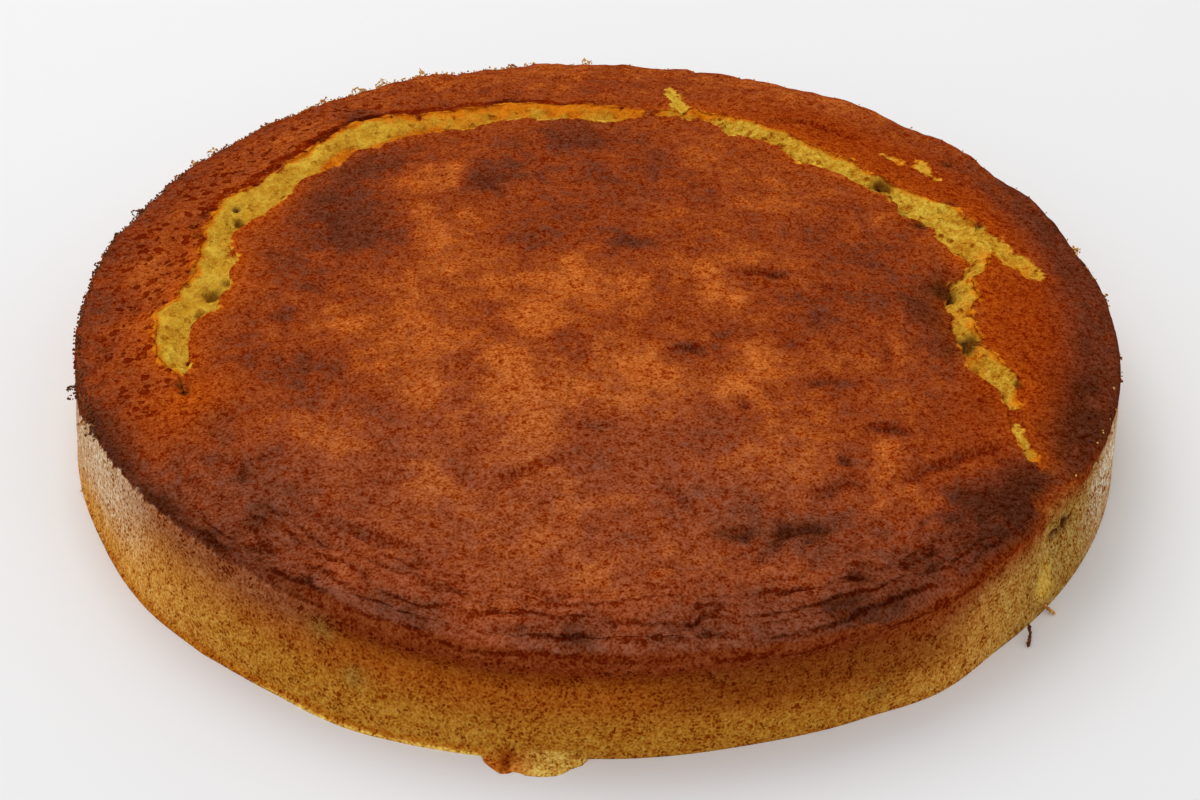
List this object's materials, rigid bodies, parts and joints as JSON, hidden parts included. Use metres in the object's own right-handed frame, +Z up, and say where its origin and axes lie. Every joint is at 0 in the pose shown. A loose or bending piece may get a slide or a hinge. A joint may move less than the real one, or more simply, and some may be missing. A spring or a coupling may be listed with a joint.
{
  "type": "sponge cake",
  "caption": "Whole round chestnut sponge cake, turned out of its tin: browned crust, low crown split open in a ring, golden porous side and flat base.",
  "frame": {"origin": "middle of the flat base, on the surface that the cake stands on", "axes": "+Z up out of the crown, -Y towards the side with the soft shoulder and the leaked tongue, +X to the right of that side"},
  "size_m": [0.2604, 0.2654, 0.0375],
  "materials": {
    "crust": "matte",
    "crumb": "matte"
  },
  "bodies": {
    "root": {"cake": "crust"}
  },
  "joints": []
}
